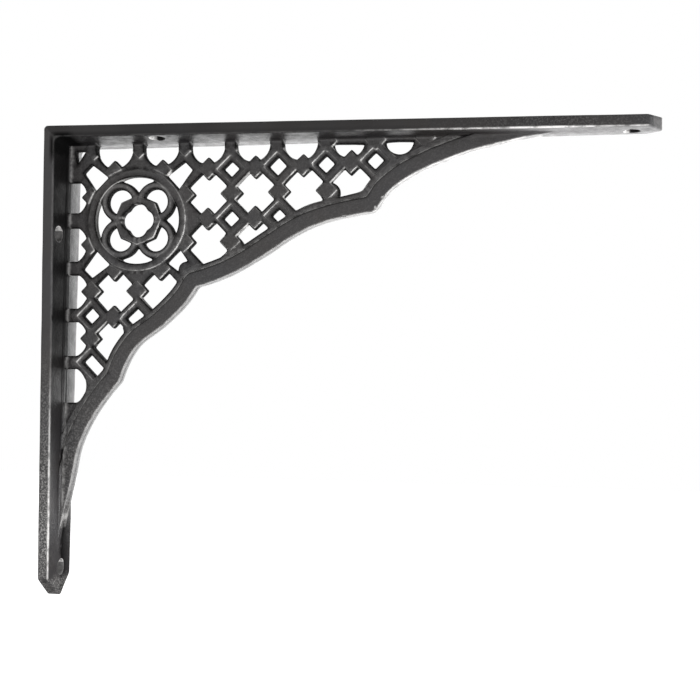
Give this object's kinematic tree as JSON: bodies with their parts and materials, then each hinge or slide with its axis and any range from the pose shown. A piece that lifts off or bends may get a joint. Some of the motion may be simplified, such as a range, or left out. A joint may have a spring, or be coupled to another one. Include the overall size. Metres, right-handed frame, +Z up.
{
  "type": "shelf bracket",
  "caption": "Cast-iron shelf bracket: tapered shelf and wall arms at a right angle, joined by a pierced lattice web with a rosette and an ogee rim.",
  "frame": {"origin": "on the wall face, on its centre line, half way up the wall arm", "axes": "+X away from the wall along the shelf arm, +Y across the thickness of the bracket, +Z up"},
  "size_m": [0.2032, 0.0242, 0.1588],
  "materials": {
    "cast_iron": "satin dark grey-black cast iron with fine sand grain"
  },
  "bodies": {
    "root": {"bracket_casting": "cast_iron"}
  },
  "joints": []
}
